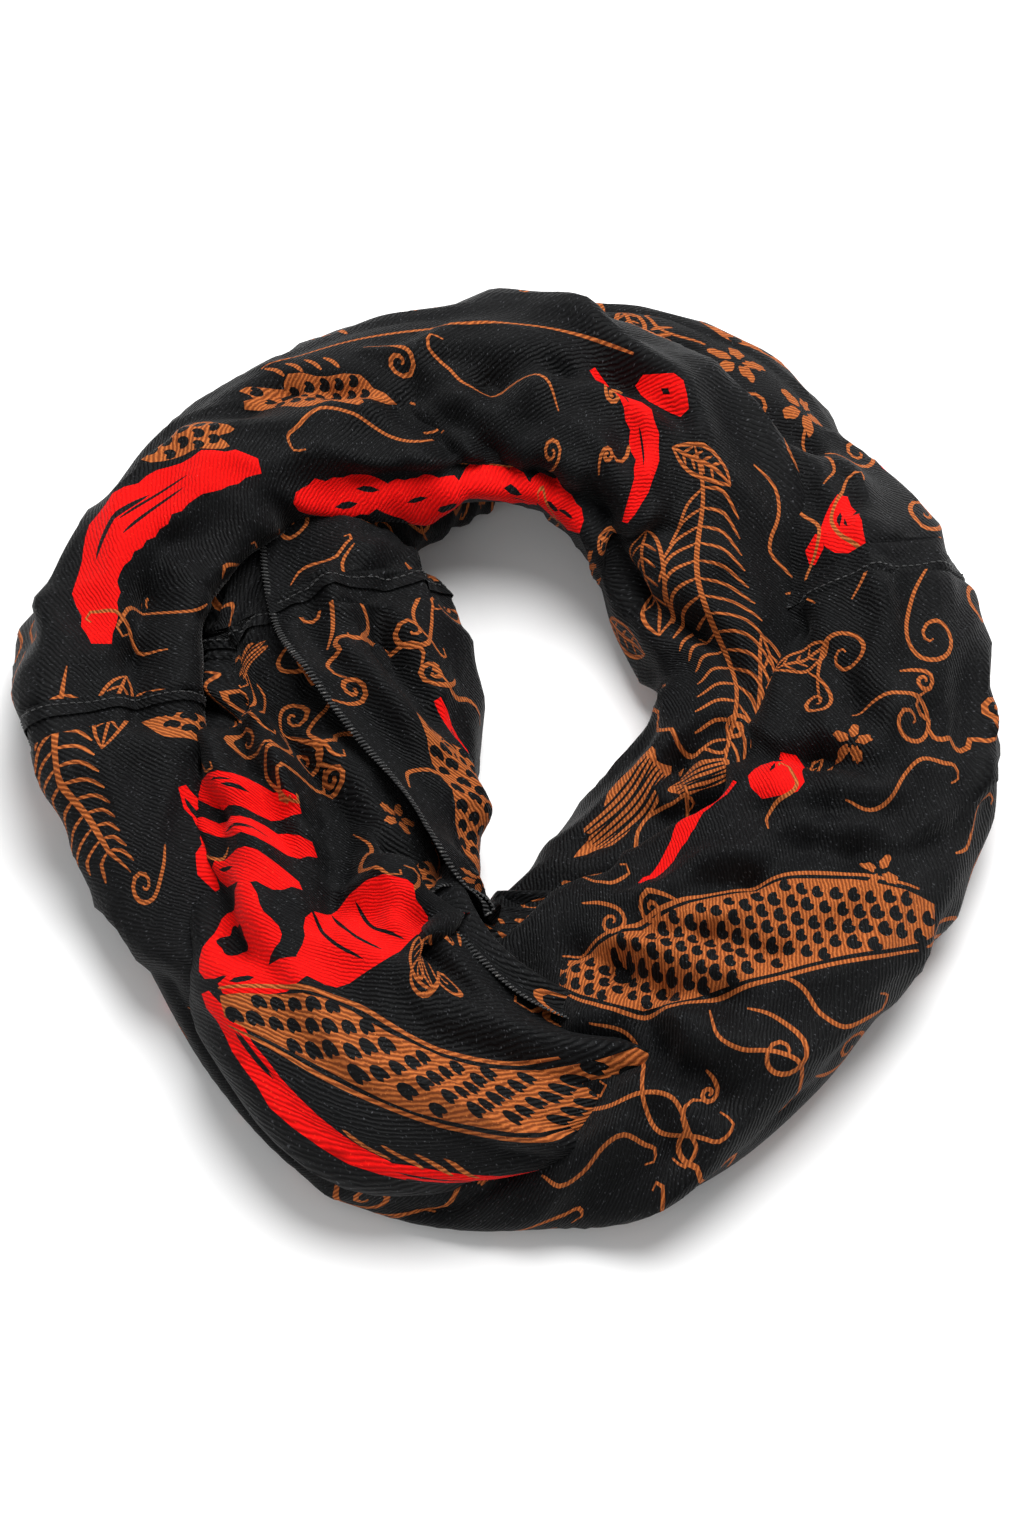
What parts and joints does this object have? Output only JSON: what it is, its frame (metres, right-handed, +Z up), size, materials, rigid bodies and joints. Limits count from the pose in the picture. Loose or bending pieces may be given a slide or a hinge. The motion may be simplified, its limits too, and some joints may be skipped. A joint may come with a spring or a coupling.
{
  "type": "loop scarf",
  "caption": "Printed twill loop scarf wound into two laps and laid flat as a ring, with three sewn seams and stitched long edges.",
  "frame": {"origin": "on the table under the middle of the laid ring, at the bottom centre of its box", "axes": "+Z up, out of the table; +X to the wearer's right as laid; +Y towards the back, where the two laps cross"},
  "size_m": [0.3788, 0.4018, 0.0735],
  "materials": {
    "printed_twill": "black cotton twill, screen printed with scarlet brush strokes and fine copper line ornament",
    "edge_thread": "black overlock thread with pale flecks",
    "seam_thread": "black sewing thread"
  },
  "bodies": {
    "root": {"cloth_panel_1": "printed_twill", "cloth_panel_2": "printed_twill", "cloth_panel_3": "printed_twill", "edge_stitching_first_1": "edge_thread", "edge_stitching_first_2": "edge_thread", "edge_stitching_second_1": "edge_thread", "edge_stitching_second_2": "edge_thread", "seam_stitching_left": "seam_thread", "seam_stitching_right": "seam_thread", "seam_stitching_inner": "seam_thread"}
  },
  "joints": []
}
